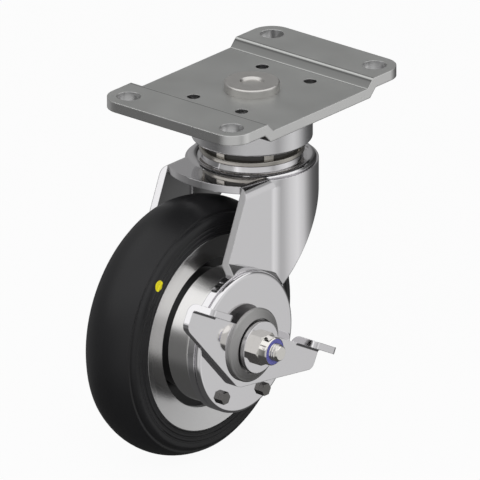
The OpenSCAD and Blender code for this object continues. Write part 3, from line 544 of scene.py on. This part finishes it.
# the axle bolt in CAD millimetres along the axle: hexagon head on the far side, thread from inside the nut
# outwards
bolt = {
    "across": 17.0,
    "headEnd": -38.6,
    "headSeat": -32.2,
    "headChamferRadius": 8.4,
    "intoHead": 1.0,
    "shank": 5.0,
    "root": 4.25,
    "threadFrom": 50.2,
    "runIn": 0.75,
    "end": 67.85,
    "endChamfer": (0.48, 0.4),  # off the radius, and along the axle
    "segments": 48,
    "pitch": 1.5,
    "ridge": {"flank": 0.38, "land": 0.5, "foot": 0.88, "steps": 40},  # in pitches, and steps in a turn
    "ridgeSink": 0.1,
    "crestBelow": 0.02,
    "threadEndGap": 0.6,
}


def makeBolt(s):
    shape = bmesh.new()
    turnHex(shape, s["across"], s["headEnd"], s["headSeat"], s["headChamferRadius"], False)
    inHead = s["headSeat"] - s["intoHead"]
    offRadius, offLength = s["endChamfer"]
    section = [(0.0, inHead), (s["shank"], inHead), (s["shank"], s["threadFrom"]),
               (s["root"], s["threadFrom"] + s["runIn"]), (s["root"], s["end"] - offLength),
               (s["root"] - offRadius, s["end"]), (0.0, s["end"])]
    turnSection(shape, section, s["segments"])
    turnThread(shape, s["ridge"], s["root"] - s["ridgeSink"], s["shank"] - s["crestBelow"], s["pitch"],
               s["threadFrom"], s["end"] - s["threadEndGap"])
    onAxle("threaded_bolt", shape, "axle_bolt")


# the lock nut: chamfered hexagon, then the round collar rolled over the nylon insert
nut = {
    "across": 17.0,
    "seat": 53.15,
    "hexTop": 58.05,
    "chamferRadius": 8.35,
    "collar": 8.2,
    "bore": 7.53,
    "top": 63.25,
    "foot": [(0.25, -0.6), (0.22, 0.1), (0.0, 0.5)],  # from the collar's radius and the hexagon's top
    "rolled": [(0.0, -1.3), (-0.12, -0.65), (-0.36, -0.2)],  # from the collar's radius and the nut's top
    "segments": 64,
}


def makeNut(s):
    shape = bmesh.new()
    turnHex(shape, s["across"], s["seat"], s["hexTop"], s["chamferRadius"], True)
    foot = [(s["collar"] + r, s["hexTop"] + h) for r, h in s["foot"]]
    rolled = [(s["collar"] + r, s["top"] + h) for r, h in s["rolled"]]
    section = [(s["bore"], foot[0][1])] + foot + rolled + [(s["bore"], s["top"])]
    turnSection(shape, section, s["segments"])
    onAxle("collared_nut", shape, "lock_nut")


makeBolt(bolt)
makeNut(nut)

# the room: what dull surfaces get is even, what metal shows is a white backdrop with dark flags, and the
# camera sees white paper
studio = {
    "softLight": 0.55,
    "lowWall": 0.07,
    "lowEdge": (-0.60, -0.42),
    "ceiling": 1.05,
    "ceilingSoftness": 0.05,
    "backdropWhite": 0.98,
    "floorWhite": 0.95,
    "floorColour": (0.62, 0.62, 0.63),
    "floorSize": 1.6,
    "floorSegments": 96,
    "lampPlace": (-0.9, -0.5, 0.9),
    "lampSize": 0.9,
    "lampPower": 9,
    # brightness of the walls round the horizon, by azimuth in degrees from +X towards +Y
    "wall": [
        (0, 0.10), (10, 0.082), (20, 0.075), (28, 0.12), (34, 0.25), (45, 0.29), (60, 0.31), (100, 0.307),
        (110, 0.22), (120, 0.19), (130, 0.158), (140, 0.143), (150, 0.12), (160, 0.196), (170, 0.293),
        (185, 0.48), (205, 0.60), (250, 0.613), (260, 0.564), (270, 0.413), (280, 0.55), (290, 0.68),
        (305, 0.783), (320, 0.613), (330, 0.39), (340, 0.219), (350, 0.13), (360, 0.10)],
    # where the bright ceiling starts, as the sine of its height, by the same azimuth
    "ceilingStart": [
        (0, 0.55), (40, 0.64), (55, 0.68), (65, 0.70), (88, 0.66), (112, 0.58), (126, 0.42), (134, 0.27),
        (143, 0.21), (160, 0.22), (200, 0.40), (250, 0.48), (300, 0.50), (360, 0.55)],
}


def makeRoom(s):
    scene.world = bpy.data.worlds.new("studio")
    sky = Recipe(scene.world)
    dx, dy, dz = sky.parts(sky.add("TexCoord", out="Generated"))
    turn = dy.maths("ARCTAN2", dy, dx) / (2 * math.pi)
    turn = turn + (turn < 0)
    wall, ceilingStart = [
        sky.add("ValToRGB", {"stops": [(degrees / 360, grey) for degrees, grey in s[key]]}, {0: turn})
        for key in ("wall", "ceilingStart")]
    low = sky.smooth(dz, *s["lowEdge"])
    over = sky.smooth(dz - ceilingStart, -s["ceilingSoftness"], s["ceilingSoftness"])
    room = s["lowWall"] * (1 - low) + wall * low
    room = room * (1 - over) + s["ceiling"] * over
    seen = sky.add("LightPath", out="Is Camera Ray")
    mirrored = sky.add("LightPath", out="Is Glossy Ray") + sky.add("LightPath", out="Is Transmission Ray")
    soft = 1 - seen - mirrored
    strength = seen * s["backdropWhite"] + mirrored * room + soft * s["softLight"]
    sky.finish(sky.add("Background", {}, {"Color": (1, 1, 1), "Strength": strength}), "OutputWorld")


def makeFloor(s):
    shape = bmesh.new()
    bmesh.ops.create_circle(shape, cap_ends=True, segments=s["floorSegments"], radius=s["floorSize"])
    bmesh.ops.translate(shape, verts=shape.verts, vec=(axle.x, 0, axle.z - wheelRadius))
    data = bpy.data.meshes.new("floor")
    shape.to_mesh(data)
    shape.free()
    floor = bpy.data.objects.new("floor", data)
    scene.collection.objects.link(floor)
    paper = bpy.data.materials.new("paper")
    recipe = Recipe(paper)
    lit = recipe.add("BsdfDiffuse", {}, {"Color": s["floorColour"]})
    white = recipe.add("Emission", {}, {"Color": (1, 1, 1), "Strength": 1.0})
    shown = recipe.add("LightPath", out="Is Camera Ray") * s["floorWhite"]
    recipe.finish(recipe.add("MixShader", {}, {0: shown, 1: lit, 2: white}))
    data.materials.append(paper)
    floor.visible_glossy = False  # metal shows the room's lower wall instead


def makeLamp(s):
    lamp = bpy.data.lights.new("keyLamp", "AREA")
    lamp.size = s["lampSize"]
    lamp.energy = s["lampPower"]
    made = bpy.data.objects.new("keyLamp", lamp)
    made.location = s["lampPlace"]
    made.rotation_mode = "QUATERNION"
    made.rotation_quaternion = (Vector(s["lampPlace"]) - view["target"]).to_track_quat("Z", "Y")
    made.visible_glossy = False
    scene.collection.objects.link(made)


makeRoom(studio)
makeFloor(studio)
makeLamp(studio)
for name in ("tyre", "wheel_rim"):
    nodes[name].visible_glossy = False  # the mirror parts show the room, as in the photograph
print("studio ready")

bpy.context.view_layer.update()
